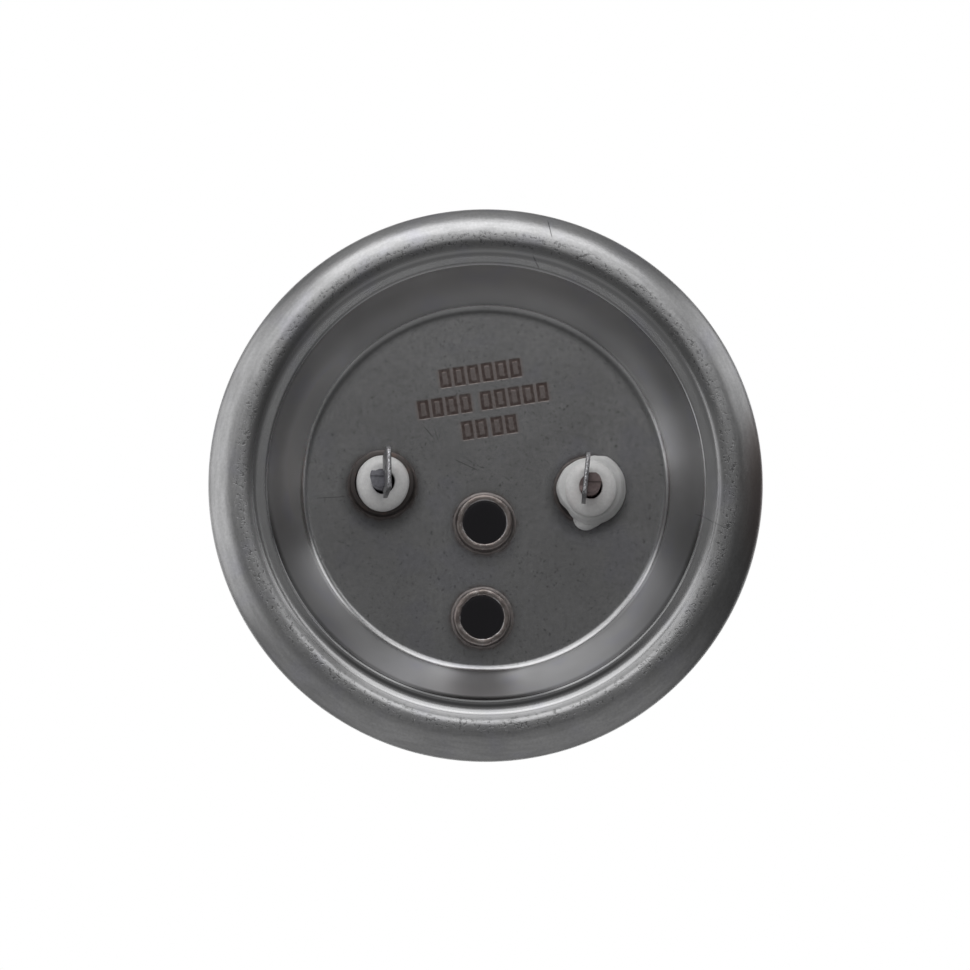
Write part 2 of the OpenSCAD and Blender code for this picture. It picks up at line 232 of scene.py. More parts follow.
def flange_section():
    """The sheet's face and its back, each from the rim's shoulder to the floor of the dish."""
    half_slope = math.tan(CREST_SLOPE / 2)
    crest_r = RIM_R - SHOULDER_BEND - CREST_FLAT - CREST_BEND * half_slope
    slope_foot_r = crest_r - LEDGE_DROP / math.tan(CREST_SLOPE)
    mouth_r = (slope_foot_r - LEDGE_BEND * half_slope - LEDGE_W
               - MOUTH_BEND * math.tan(WALL_ANGLE / 2))
    floor_r = mouth_r - DISH_DEPTH / math.tan(WALL_ANGLE)
    corners = [
        (RIM_R, 0, 0, 0),
        (RIM_R, CREST_Z, SHOULDER_BEND, SHOULDER_BEND - SHEET),
        (crest_r, CREST_Z, CREST_BEND, CREST_BEND - SHEET),
        (slope_foot_r, LEDGE_Z, LEDGE_BEND, LEDGE_BACK_BEND),
        (mouth_r, LEDGE_Z, MOUTH_BEND, MOUTH_BACK_BEND),
        (floor_r, FLOOR_Z, FLOOR_BEND, FLOOR_BEND + SHEET),
        (0, FLOOR_Z, 0, 0),
    ]
    face = [Vector(c[:2]) for c in corners]
    last = len(face) - 1
    back_side = [behind(face[max(i - 1, 0)], face[i], face[min(i + 1, last)])
                 for i in range(last + 1)]
    return (rounded_line(face, [c[2] for c in corners]),
            rounded_line(back_side, [c[3] for c in corners]))


def pierced_floor(bm, rim, z, holes, count=96):
    """Fills a ring of points with a flat face that has round holes, and returns the holes' rings."""
    rings = [circle(bm, x, y, z, r, count) for x, y, r in holes]
    verts = list(rim) + [v for ring in rings for v in ring]
    outlines, start = [], 0
    for size in [len(rim)] + [count] * len(holes):
        outlines.append(list(range(start, start + size)))
        start += size
    flat = [Vector((v.co.x, v.co.z)) / MM for v in verts]
    out = geometry.delaunay_2d_cdt(flat, [], outlines, 1, 1e-6)
    made = [verts[origins[0]] for origins in out[3]]
    for face, inside_of in zip(out[2], out[5]):
        if len(inside_of) == 1:
            bm.faces.new([made[i] for i in face])
    return rings


def is_dish(co):
    return math.hypot(co.x, co.z) < 25.5 * MM


def build_flange(material):
    face, back_side = flange_section()
    foot = [(RIM_R - SHEET, FOOT_EDGE), (RIM_R - SHEET + FOOT_EDGE, 0),
            (RIM_R - FOOT_EDGE, 0), (RIM_R, FOOT_EDGE)]
    floor_ring_r = face[-1][0] - 0.3
    profile = ([(floor_ring_r, TANK_Z)] + back_side[::-1] + foot + face
               + [(floor_ring_r, FLOOR_Z)])
    bm = bmesh.new()
    count = 360
    rings = [circle(bm, 0, 0, z, r, count) for r, z in profile]
    for ring, after in zip(rings, rings[1:]):
        bridge(bm, ring, after)
    for v in bm.verts:
        depth = LEDGE_Z + v.co.y / MM
        v.co.z += FLOOR_SET * min(max(depth / DISH_DEPTH, 0), 1) * MM if is_dish(v.co) else 0
    holes = [(side * LEG_X, 0, SHEATH_R + BRAZE_GAP) for side in (-1, 1)]
    for node in ("sleeve_upper", "sleeve_lower"):
        holes.append((*centre(node), SLEEVE_R + BRAZE_GAP))
    tank_holes = pierced_floor(bm, rings[0], TANK_Z, holes)
    dish_holes = pierced_floor(bm, rings[-1], FLOOR_Z, holes)
    for low, high in zip(tank_holes, dish_holes):
        bridge(bm, low, high)
    return stand_for(new_object("flange_pressing", bm, material), "flange")


# Tubes

def build_sheath(material):
    """The hairpin tube, swept from the left leg's end round the loop to the right leg's end."""
    bend_steps, count = 48, 64
    lip = 0.14
    path = [((-LEG_X, SHEATH_END_Z), 0.0), ((-LEG_X, LOOP_Z), 0.0)]
    for i in range(1, bend_steps):
        a = math.pi * i / bend_steps
        path.append(((-LOOP_R * math.cos(a), LOOP_Z - LOOP_R * math.sin(a)), a))
    path += [((LEG_X, LOOP_Z), math.pi), ((LEG_X, SHEATH_END_Z), math.pi)]
    rim = [(SHEATH_R, lip), (SHEATH_R - lip * 0.3, lip * 0.3), (SHEATH_R - lip, 0),
           (SHEATH_BORE_R + lip / 2, 0), (SHEATH_BORE_R, lip / 2)]
    bm = bmesh.new()

    def station(point, turn, r, sink=0.0):
        """One ring round the path. The path turns in the plane of the two legs."""
        ring = []
        across = Vector((-math.cos(turn), -math.sin(turn)))
        for k in range(count):
            b = math.tau * k / count
            x, z = Vector(point) + across * r * math.cos(b)
            ring.append(bm.verts.new(place(x, r * math.sin(b), z - sink)))
        return ring

    rings = [station(*path[0], r, sink) for r, sink in rim[::-1]]
    rings += [station(p, a, SHEATH_R) for p, a in path[1:-1]]
    rings += [station(*path[-1], r, sink) for r, sink in rim]
    rings += [station(p, a, SHEATH_BORE_R) for p, a in path[-2:0:-1]]
    for ring, after in zip(rings, rings[1:] + rings[:1]):
        bridge(bm, ring, after)
    return stand_for(new_object("heating_tube", bm, material), "heater_sheath")


def build_sleeve(node, material, lumps, seed):
    x, y = centre(node)
    end, far = SLEEVE_END_Z, back(node)
    outer_lip, inner_lip = 0.38, 0.22
    profile = ([(SLEEVE_BORE_R, far), (SLEEVE_R, far), (SLEEVE_R, FLOOR_Z)]
               + arc(SLEEVE_R - outer_lip, end - outer_lip, outer_lip, 0, 90, 7)
               + arc(SLEEVE_BORE_R + inner_lip, end - inner_lip, inner_lip, 90, 180, 5)
               + [(SLEEVE_BORE_R, end - 1.0)])
    bm = revolve(profile, x, y)
    floor = -FLOOR_Z * MM
    roughen(bm, lumps, 0.9, seed, keep=lambda co: co.y > floor - 1e-6)
    return stand_for(new_object(node + "_tube", bm, material), node)


def build_braze(node, tube_r, material, seed):
    """The brazed joint: a fillet on each face of the flange, with an uneven toe."""
    x, y = centre(node)
    hole_r = tube_r + BRAZE_GAP
    toe_r = tube_r + BRAZE_LEG
    profile = ([(tube_r, TANK_Z - BRAZE_LEG), (tube_r, FLOOR_Z + BRAZE_LEG)]
               + arc(toe_r, FLOOR_Z + BRAZE_LEG, BRAZE_LEG, 180, 270, 9)
               + [(hole_r, FLOOR_Z), (hole_r, TANK_Z)]
               + arc(toe_r, TANK_Z - BRAZE_LEG, BRAZE_LEG, 90, 180, 9))
    bm = revolve(profile, x, y, 128)
    roughen(bm, 0.03, 1.3, seed)
    return stand_for(new_object(node + "_joint", bm, material, 60), node)


# Terminals

def build_insulator(node, material, seed, lean):
    """A hand-set bead: lean is how far its face sits off the tube's axis."""
    x, y = centre(node)
    edge = 0.15
    profile = ([(PIN_HOLE_R, INSULATOR_FOOT_Z), (INSULATOR_R, INSULATOR_FOOT_Z)]
               + arc(INSULATOR_R - INSULATOR_ROUND, INSULATOR_END_Z - INSULATOR_ROUND,
                     INSULATOR_ROUND, 0, 90, 14)
               + arc(PIN_HOLE_R + edge, INSULATOR_END_Z - edge, edge, 90, 180, 4))
    bm = revolve(profile, x, y, 128)
    roughen(bm, 0.03, 1.6, seed)
    reach = INSULATOR_END_Z - SHEATH_END_Z
    for v in bm.verts:
        out = -v.co.y / MM - SHEATH_END_Z
        if out > 0.05:
            below = min(v.co.z / MM - y, 0.0)
            v.co.z += (BEAD_SAG * below / INSULATOR_R * min(out, 1.0) + lean[1] * out / reach) * MM
            v.co.x += lean[0] * out / reach * MM
    return stand_for(new_object(node + "_bead", bm, material), node)


# The surplus sealant's reach beyond the bead, as a share of the plain collar's, by direction
SURPLUS_REACH = [
    (0, 1.0), (30, 1.1), (60, 1.2), (80, 0.85), (100, 0.45), (125, 0.5), (150, 0.75),
    (180, 0.95), (205, 0.75), (225, 0.55), (245, 0.8), (270, 1.0), (300, 1.0), (330, 1.0), (360, 1.0),
]
SURPLUS_TILT = 0.7


def surplus_reach(degrees):
    for (a, low), (b, high) in zip(SURPLUS_REACH, SURPLUS_REACH[1:]):
        if degrees <= b:
            t = (degrees - a) / (b - a)
            return low + (high - low) * t * t * (3 - 2 * t)
    return 1.0


def shape_surplus(v):
    """Draws the collar in or out by direction, and sinks it next to the bead's round edge."""
    out = -v.co.y / MM - SHEATH_END_Z
    if out < -1.3:
        return
    dx, dy = v.co.x / MM - LEG_X, v.co.z / MM
    r = math.hypot(dx, dy)
    turn = math.degrees(math.atan2(dy, dx)) % 360
    if INSULATOR_R < r < 4.6:
        fade = min((4.6 - r) / 0.3, 1.0) if 225 < turn < 315 else 1.0
        pull = 1 + (surplus_reach(turn) - 1) * fade
        wider = (INSULATOR_R + (r - INSULATOR_R) * pull) / r
        v.co.x += dx * (wider - 1) * MM
        v.co.z += dy * (wider - 1) * MM
    if out < 0.2:
        return
    if r < 3.6:
        closer = 0.35 * (3.6 - r) / (3.6 - INSULATOR_R) / r
        v.co.x -= dx * closer * MM
        v.co.z -= dy * closer * MM
    shoulder = max(0.0, 1 - abs(r - 3.15) / 0.75)
    lower_right = 0.5 + 0.5 * math.cos(math.radians(turn + 35))
    sink = (0.35 + 0.35 * lower_right) * shoulder * shoulder * (3 - 2 * shoulder)
    tilt = SURPLUS_TILT * (r - 2.4) * math.cos(math.radians(turn + 35)) if r > 2.4 else 0.0
    v.co.y += (sink + tilt) * min(out / 1.5, 1.0) * MM


def build_sealant(material):
    """The overfilled plug: the collar and drip, melted into one soft form."""
    bm = bmesh.new()
    bm.from_mesh(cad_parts["seal_right"].data)
    bmesh.ops.remove_doubles(bm, verts=bm.verts, dist=1e-7)
    piece = new_object("seal_right_surplus", bm, material, 180)
    remesh = piece.modifiers.new("even", "REMESH")
    remesh.mode = "VOXEL"
    remesh.voxel_size = 0.11 * MM
    remesh.use_smooth_shade = True
    soften = piece.modifiers.new("soften", "SMOOTH")
    soften.factor = 0.5
    soften.iterations = 14
    graph = bpy.context.evaluated_depsgraph_get()
    made = bpy.data.meshes.new_from_object(piece.evaluated_get(graph))
    piece.modifiers.clear()
    piece.data = made
    for v in made.vertices:
        shape_surplus(v)
    return stand_for(piece, "seal_right")


def build_refined(node, name, material, bevel, lumps=0.0, seed=0.0):
    bm = refined(node, bevel)
    if lumps:
        roughen(bm, lumps, 1.2, seed)
    return stand_for(new_object(name, bm, material), node)


# Materials

class Finish:
    """A material's nodes. Values are in mm about the flange's axis."""

    def __init__(self, name, colour, metallic, roughness):
        self.material = bpy.data.materials.new(name)
        self.material.use_nodes = True
        self.tree = self.material.node_tree
        self.tree.nodes.clear()
        self.shader = self.tree.nodes.new("ShaderNodeBsdfPrincipled")
        self.shader.inputs["Metallic"].default_value = metallic
        self.shader.inputs["Roughness"].default_value = roughness
        self.shader.inputs["Base Color"].default_value = (*colour, 1)
        output = self.tree.nodes.new("ShaderNodeOutputMaterial")
        self.tree.links.new(self.shader.outputs[0], output.inputs[0])
        coords = self.tree.nodes.new("ShaderNodeTexCoord")
        self.at = self.vector("MULTIPLY", coords.outputs["Object"], (1 / MM,) * 3)
        split = self.tree.nodes.new("ShaderNodeSeparateXYZ")
        self.put(split.inputs[0], self.at)
        self.x, depth, self.y = split.outputs
        self.z = self.math("MULTIPLY", depth, -1.0)
        self.r = self.distance(0, 0)
        self.colour = colour
        self.bumps = []

    def put(self, socket, value):
        if isinstance(value, bpy.types.NodeSocket):
            self.tree.links.new(value, socket)
        elif isinstance(value, tuple) and socket.type == "RGBA":
            socket.default_value = (*value, 1)
        else:
            socket.default_value = value

    def math(self, operation, a, b=0.0, clamp=False):
        node = self.tree.nodes.new("ShaderNodeMath")
        node.operation = operation
        node.use_clamp = clamp
        self.put(node.inputs[0], a)
        self.put(node.inputs[1], b)
        return node.outputs[0]

    def vector(self, operation, a, b=(0, 0, 0)):
        node = self.tree.nodes.new("ShaderNodeVectorMath")
        node.operation = operation
        self.put(node.inputs[0], a)
        self.put(node.inputs[1], b)
        return node.outputs[1] if operation == "LENGTH" else node.outputs[0]

    def combine(self, x, y, z):
        node = self.tree.nodes.new("ShaderNodeCombineXYZ")
        for socket, value in zip(node.inputs, (x, y, z)):
            self.put(socket, value)
        return node.outputs[0]

    def distance(self, x, y):
        """Distance from a line along the flange's axis direction, through x, y."""
        dx = self.math("SUBTRACT", self.x, float(x))
        dy = self.math("SUBTRACT", self.y, float(y))
        return self.vector("LENGTH", self.combine(dx, dy, 0.0))

    def noise(self, scale, detail=2.0, at=None, gain=0.5):
        """Noise of so many waves per mm, about 0.5 on average."""
        node = self.tree.nodes.new("ShaderNodeTexNoise")
        node.inputs["Scale"].default_value = scale
        node.inputs["Detail"].default_value = detail
        node.inputs["Roughness"].default_value = gain
        self.put(node.inputs["Vector"], at or self.at)
        return node.outputs["Fac"]

    def smooth(self, value, low, high, start=0.0, end=1.0):
        """A soft step from start to end as value goes from low to high."""
        node = self.tree.nodes.new("ShaderNodeMapRange")
        node.interpolation_type = "SMOOTHSTEP"
        if low > high:
            low, high, start, end = high, low, end, start
        for socket, number in zip(node.inputs[:5], (value, low, high, start, end)):
            self.put(socket, number)
        return node.outputs[0]

    def band(self, value, low, high, soft):
        rise = self.smooth(value, low - soft, low + soft)
        fall = self.smooth(value, high + soft, high - soft)
        return self.math("MULTIPLY", rise, fall)

    def mix(self, factor, a, b):
        node = self.tree.nodes.new("ShaderNodeMix")
        node.data_type = "RGBA"
        self.put(node.inputs["Factor"], factor)
        self.put(node.inputs[6], a)
        self.put(node.inputs[7], b)
        return node.outputs[2]

    def tint(self, factor, colour):
        """Lays a colour over the one so far."""
        self.colour = self.mix(factor, self.colour, colour)

    def shade(self, factor, amount):
        """Scales the colour so far by 1 + amount where factor is 1."""
        scale = self.math("ADD", self.math("MULTIPLY", factor, amount), 1.0)
        node = self.tree.nodes.new("ShaderNodeVectorMath")
        node.operation = "SCALE"
        self.put(node.inputs[0], self.colour if not isinstance(self.colour, tuple) else self.colour)
        self.put(node.inputs["Scale"], scale)
        self.colour = node.outputs[0]

    def bump(self, height, amount):
        """Adds height, scaled to amount in mm, to the surface's relief."""
        self.bumps.append(self.math("MULTIPLY", height, amount))

    def done(self, roughness=None):
        self.put(self.shader.inputs["Base Color"], self.colour)
        if roughness is not None:
            self.put(self.shader.inputs["Roughness"], roughness)
        if self.bumps:
            height = self.bumps[0]
            for more in self.bumps[1:]:
                height = self.math("ADD", height, more)
            node = self.tree.nodes.new("ShaderNodeBump")
            node.inputs["Strength"].default_value = 1.0
            node.inputs["Distance"].default_value = MM
            self.put(node.inputs["Height"], height)
            self.put(self.shader.inputs["Normal"], node.outputs[0])
        return self.material

    def streaks(self, across, along, detail=3.0):
        """Noise drawn out round the flange's axis: waves per mm across and along the ring."""
        out = self.math("MULTIPLY", self.r, across)
        angle = self.math("ARCTAN2", self.y, self.x)
        c = self.math("MULTIPLY", self.math("COSINE", angle), along)
        s = self.math("MULTIPLY", self.math("SINE", angle), along)
        return self.noise(1.0, detail, self.combine(out, c, s))

    def scratch(self, x0, y0, x1, y1, width):
        """1 on a straight scratch between two points, fading over its width."""
        length = math.hypot(x1 - x0, y1 - y0)
        ux, uy = (x1 - x0) / length, (y1 - y0) / length
        dx = self.math("SUBTRACT", self.x, x0)
        dy = self.math("SUBTRACT", self.y, y0)
        along = self.math("ADD", self.math("MULTIPLY", dx, ux), self.math("MULTIPLY", dy, uy))
        aside = self.math("SUBTRACT", self.math("MULTIPLY", dx, uy), self.math("MULTIPLY", dy, ux))
        inside = self.band(along, 0.0, length, min(0.3, length / 4))
        line = self.smooth(self.math("ABSOLUTE", aside), width, width * 0.2)
        return self.math("MULTIPLY", inside, line)


STEEL = (0.47, 0.47, 0.475)
BROWN = (0.2, 0.14, 0.12)
DARK_OXIDE = (0.1, 0.09, 0.087)

# Scratches on the flange's face as x0, y0, x1, y1 and half width, then their darkening
SCRATCHES = [
    (-7.3, 6.9, -6.2, 5.6, 0.06, -0.5),
    (-6.2, 6.9, -5.6, 5.2, 0.05, -0.45),
    (-3.5, 3.1, -1.0, 2.0, 0.07, -0.5),
    (-2.6, 3.4, -0.9, 2.6, 0.05, -0.4),
    (-19.8, -1.8, -16.4, -1.5, 0.08, -0.4),
    (6.4, 30.4, 6.9, 28.4, 0.09, -0.6),
    (4.8, 26.2, 5.5, 24.8, 0.1, -0.4),
    (24.3, -3.1, 28.1, -5.0, 0.06, -0.45),
]
# Rows of the plain marks, as the row's middle x, y, then groups of (start, count) in mark widths
MARK_ROWS = [
    (-0.96, 13.37, [(-3.0, 6)]),
    (-0.68, 10.1, [(-4.65, 4), (-0.2, 5)]),
    (0.1, 7.03, [(-1.95, 2), (0.15, 2)]),
]
LEDGE_RINGS = (25.4, 26.4)
# Strength of the painted glow deep inside the sleeves' bores.
BORE_PAINTED_GLOW = 0.0067
MARK_PITCH = 1.66
MARK_W = 1.3
MARK_STROKE = 0.36
MARK_H = 2.2
MARK_TILT = math.radians(10)


def mark_rows(n):
    """Rows of plain upright frames, where such a flange is marked: their lines and their glow."""
    total, glow = 0.0, 0.0
    c, s = math.cos(MARK_TILT), math.sin(MARK_TILT)
    for x, y, groups in MARK_ROWS:
        dx = n.math("SUBTRACT", n.x, x)
        dy = n.math("SUBTRACT", n.y, y)
        u = n.math("ADD", n.math("MULTIPLY", dx, c), n.math("MULTIPLY", dy, s))
        v = n.math("SUBTRACT", n.math("MULTIPLY", dy, c), n.math("MULTIPLY", dx, s))
        row = n.band(v, -MARK_H / 2, MARK_H / 2, 0.08)
        row_inside = n.band(v, MARK_STROKE - MARK_H / 2, MARK_H / 2 - MARK_STROKE, 0.08)
        for start, count in groups:
            along = n.math("SUBTRACT", u, start * MARK_PITCH)
            cell = n.math("PINGPONG", along, MARK_PITCH / 2)
            edge = (MARK_PITCH - MARK_W) / 2
            bar = n.smooth(cell, edge - 0.08, edge + 0.08)
            bar_inside = n.smooth(cell, edge + MARK_STROKE - 0.08, edge + MARK_STROKE + 0.08)
            inside = n.band(along, 0.0, count * MARK_PITCH, 0.05)
            middle = n.math("MULTIPLY", n.math("MULTIPLY", row_inside, bar_inside), 0.7)
            outline = n.math("SUBTRACT", n.math("MULTIPLY", row, bar), middle)
            word = n.math("MULTIPLY", outline, inside)
            total = n.math("MAXIMUM", word, total)
            ends = n.band(along, 0.0, count * MARK_PITCH, 0.3)
            near = n.math("MULTIPLY", n.band(v, -MARK_H / 2, MARK_H / 2, 0.3), ends)
            glow = n.math("MAXIMUM", near, glow)
    return total, glow


def flange_steel():
    n = Finish("flange_steel", STEEL, 1.0, 0.34)
    broad = n.noise(0.12, 2.0)
    n.shade(n.math("SUBTRACT", broad, 0.5), 0.35)
    n.tint(n.smooth(n.noise(0.2, 2.0), 0.52, 0.7, 0.0, 0.35), (0.43, 0.43, 0.49))
    across = n.math("ABSOLUTE", n.x)
    bead = n.smooth(n.r, 26.2, 28.2)
    ledge = n.band(n.r, LEDGE_RINGS[0], LEDGE_RINGS[1], 0.12)
    n.shade(ledge, 0.08)
    # Painted shade: the lip's band is darkened on the lower half, most at the bottom, where the key lamp
    # would put a highlight.
    lip = n.band(n.r, 24.75, 25.4, 0.2)
    n.shade(n.math("MULTIPLY", lip, n.smooth(n.y, -2.0, -8.0)), -0.45)
    n.shade(n.math("MULTIPLY", lip, n.smooth(n.y, -23.0, -24.6)), -0.65)
    # Painted shade: the slope below the crest is darkened on its upper side.
    upper_slope = n.math("MULTIPLY", n.band(n.r, 26.8, 27.9, 0.25), n.smooth(n.y, -4.0, 18.0))
    n.shade(upper_slope, -0.42)
    n.shade(n.smooth(n.r, 21.2, 20.6), -0.12)
    # Painted shade and highlight on the rim's lower part: the ledge's corner and the slope's foot are
    # darkened, and the slope's head is lightened.
    below = n.smooth(n.y, -14.0, -22.0)
    n.shade(n.math("MULTIPLY", n.band(n.r, 25.6, 25.97, 0.12), below), -0.6)
    n.shade(n.math("MULTIPLY", n.band(n.r, 26.75, 27.45, 0.12), below), -0.45)
    n.shade(n.math("MULTIPLY", n.band(n.r, 27.55, 27.95, 0.2), below), 0.45)
    # Painted reflection: the floor's corner is lightened at the left and right sides.
    fillet = n.math("MULTIPLY", n.band(n.r, 21.15, 21.6, 0.15), n.smooth(across, 12.0, 18.0))
    n.shade(fillet, 0.7)
    inside = n.smooth(n.r, 21.6, 20.6)
    n.shade(n.math("MULTIPLY", n.math("SUBTRACT", n.noise(1.7, 5.0, gain=0.7), 0.5), inside), 0.55)
    specks = n.smooth(n.noise(3.2, 3.0), 0.62, 0.7)
    n.shade(n.math("MULTIPLY", specks, inside), -0.4)
    # Painted shade: the rim from the slope outwards is darkened on the right side, lower half and middle.
    lower_right = n.math("MULTIPLY", n.smooth(n.x, 18.0, 27.0), n.smooth(n.y, 12.0, 0.0))
    n.shade(n.math("MULTIPLY", n.smooth(n.r, 26.8, 27.3), lower_right), -0.3)
    # Painted shade: the floor's outer edge is darkened towards the top.
    upper_floor = n.math("MULTIPLY", n.band(n.r, 20.2, 21.0, 0.4), n.smooth(n.y, 4.0, 16.0))
    n.shade(upper_floor, -0.3)
    # Painted reflection on the dish's wall: lighter at the left and right towards its foot and a little
    # darker near the lip there, lighter near its foot except low down, and lighter at the left and at the
    # bottom.
    wall = n.band(n.r, 21.5, 25.0, 0.2)
    at_side = n.math("MULTIPLY", wall, n.smooth(across, 12.0, 19.0))
    n.shade(n.math("MULTIPLY", at_side, n.smooth(n.r, 25.0, 21.5, -0.1, 0.4)), 1.0)
    wall_foot = n.math("MULTIPLY", n.smooth(n.r, 24.2, 22.0), n.smooth(n.y, -8.0, 2.0))
    n.shade(n.math("MULTIPLY", wall, wall_foot), 0.42)
    wall_left = n.math("MULTIPLY", n.smooth(n.x, -15.0, -20.0), n.smooth(n.y, -13.0, -6.0))
    n.shade(n.math("MULTIPLY", wall, wall_left), 0.4)
    wall_below = n.math("MULTIPLY", n.smooth(across, 7.0, 3.0), n.smooth(n.y, -18.0, -20.0))
    n.shade(n.math("MULTIPLY", wall, wall_below), 0.5)
    grain = n.noise(3.2, 4.0, gain=0.65)
    streak = n.streaks(2.2, 9.0, 4.0)
    n.shade(n.math("MULTIPLY", n.math("SUBTRACT", grain, 0.5), bead), 0.5)
    n.shade(n.math("MULTIPLY", n.math("SUBTRACT", streak, 0.5), bead), 0.5)
    pitted = n.band(n.r, 27.3, 28.9, 0.4)
    pits = n.smooth(n.noise(2.6, 3.0, gain=0.7), 0.53, 0.62)
    n.shade(n.math("MULTIPLY", pits, pitted), -0.45)
    # A brown stain at the rim's right edge. It is darker than the steel, so it is also painted shade on
    # that side.
    right_rim = n.math("MULTIPLY", n.smooth(n.x, 28.5, 31.5), n.smooth(n.math("ABSOLUTE", n.y), 12.0, 4.0))
    n.tint(n.math("MULTIPLY", right_rim, 0.55), (0.3, 0.23, 0.21))
    patchy = n.noise(0.9, 3.0)
    # Round each tube: a brown heat tint, and a painted shadow round it that reaches further below, deeper
    # round the heater's legs.
    for x, y, tube_r in TUBES:
        halo = n.smooth(n.distance(x, y), tube_r + 0.9, tube_r + 0.2)
        n.tint(n.math("MULTIPLY", halo, n.smooth(patchy, 0.4, 0.6, 0.1, 0.6)), BROWN)
        painted_shadow_depth = -0.42 if tube_r == SHEATH_R else -0.2
        n.shade(n.smooth(n.distance(x, y - 0.6), tube_r + 1.8, tube_r + 0.1), painted_shadow_depth)
    marks, glow = mark_rows(n)
    n.tint(n.math("MULTIPLY", glow, 0.55), (0.44, 0.35, 0.325))
    mottle = n.smooth(n.noise(2.5, 3.0), 0.35, 0.6, 0.65, 0.95)
    n.tint(n.math("MULTIPLY", marks, mottle), (0.16, 0.12, 0.108))
    for *line, depth in SCRATCHES:
        n.shade(n.scratch(*line), depth)
    n.bump(n.math("MULTIPLY", grain, bead), 0.012)
    n.bump(n.math("MULTIPLY", pits, pitted), -0.012)
    n.bump(n.noise(0.35, 2.0), 0.02)
    n.bump(marks, -0.01)
    rough = n.math("ADD", n.smooth(bead, 0.0, 1.0, 0.25, 0.36), n.math("MULTIPLY", wall, 0.17))
    return n.done(rough)


def sheath_steel():
    """Satin tube, brown where it was brazed and straw towards the heated part."""
    n = Finish("sheath_steel", (0.5, 0.49, 0.475), 1.0, 0.34)
    drawn = n.noise(1.0, 3.0, n.vector("MULTIPLY", n.at, (4.0, 0.12, 4.0)))
    n.shade(n.math("SUBTRACT", drawn, 0.5), 0.3)
    heat = n.smooth(n.z, TANK_Z - 14.0, TANK_Z, 0.0, 0.6)
    n.tint(n.math("MULTIPLY", heat, n.smooth(n.noise(0.5, 2.0), 0.3, 0.7)), (0.38, 0.3, 0.24))
    end = n.smooth(n.z, FLOOR_Z - 0.2, FLOOR_Z + 0.6)
    oxide = n.mix(n.smooth(n.noise(0.8, 2.0), 0.5, 0.7, 0.0, 0.5), DARK_OXIDE, BROWN)
    n.tint(end, oxide)
    n.bump(drawn, 0.004)
    return n.done(n.smooth(end, 0.0, 1.0, 0.34, 0.5))


def sleeve_steel():
    """Satin tube with a brown, scaly mouth and a dark bore: painted shade and a faint painted glow inside
    the bore, and a painted highlight with the worn scale at its edge.
    """
    n = Finish("sleeve_steel", (0.5, 0.49, 0.475), 1.0, 0.36)
    drawn = n.noise(1.0, 3.0, n.vector("MULTIPLY", n.at, (4.0, 0.12, 4.0)))
    n.shade(n.math("SUBTRACT", drawn, 0.5), 0.3)
    heat = n.smooth(n.z, TANK_Z - 12.0, TANK_Z, 0.0, 0.6)
    n.tint(n.math("MULTIPLY", heat, n.smooth(n.noise(0.5, 2.0), 0.3, 0.7)), (0.38, 0.3, 0.24))
    mouth = n.smooth(n.z, FLOOR_Z - 0.2, FLOOR_Z + 0.5)
    scale = n.noise(2.2, 4.0, gain=0.6)
    n.tint(n.math("MULTIPLY", mouth, n.smooth(scale, 0.3, 0.65, 0.6, 1.0)), (0.24, 0.205, 0.195))
    painted_glow = 0.0
    for node in ("sleeve_upper", "sleeve_lower"):
        # Painted shade: a darker grey deep inside each bore. The same mask carries a faint painted glow.
        inside = n.math("LESS_THAN", n.distance(*centre(node)), SLEEVE_BORE_R + 0.1)
        deep = n.smooth(n.z, SLEEVE_END_Z - 0.25, SLEEVE_END_Z - 0.9)
        bore = n.math("MULTIPLY", inside, deep)
        n.tint(bore, (0.3, 0.29, 0.31))
        painted_glow = n.math("MAXIMUM", bore, painted_glow)
        to_edge = n.distance(*centre(node))
        # Lighter bare metal at the bore's edge: worn scale, and in part a painted highlight.
        worn_edge_and_glint = n.band(to_edge, SLEEVE_BORE_R - 0.05, SLEEVE_BORE_R + 0.14, 0.05)
        bare = n.smooth(n.noise(1.3, 2.0), 0.42, 0.6, 0.1, 0.9)
        n.tint(n.math("MULTIPLY", n.math("MULTIPLY", worn_edge_and_glint, bare), mouth), (0.6, 0.59, 0.6))
    flecks = n.smooth(n.noise(3.4, 2.0), 0.62, 0.7, 0.0, 0.7)
    n.tint(n.math("MULTIPLY", flecks, mouth), (0.5, 0.48, 0.48))
    n.shade(n.math("MULTIPLY", n.math("SUBTRACT", n.noise(1.1, 4.0, gain=0.7), 0.5), mouth), 1.1)
    n.bump(n.math("MULTIPLY", scale, mouth), 0.05)
    # Painted glow: a faint emission deep inside the bores.
    n.shader.inputs["Emission Color"].default_value = (0.95, 0.93, 1.0, 1)
    n.put(n.shader.inputs["Emission Strength"], n.math("MULTIPLY", painted_glow, BORE_PAINTED_GLOW))
    return n.done()


def braze_metal():
    n = Finish("braze_metal", (0.27, 0.245, 0.238), 1.0, 0.5)
    n.tint(n.smooth(n.math("ABSOLUTE", n.x), 6.0, 7.0), (0.13, 0.115, 0.111))
    n.shade(n.math("SUBTRACT", n.noise(1.6, 4.0, gain=0.65), 0.5), 0.9)
    n.tint(n.smooth(n.noise(0.7, 2.0), 0.55, 0.7, 0.0, 0.5), (0.18, 0.165, 0.16))
    n.bump(n.noise(3.5, 3.0), 0.015)
    return n.done()


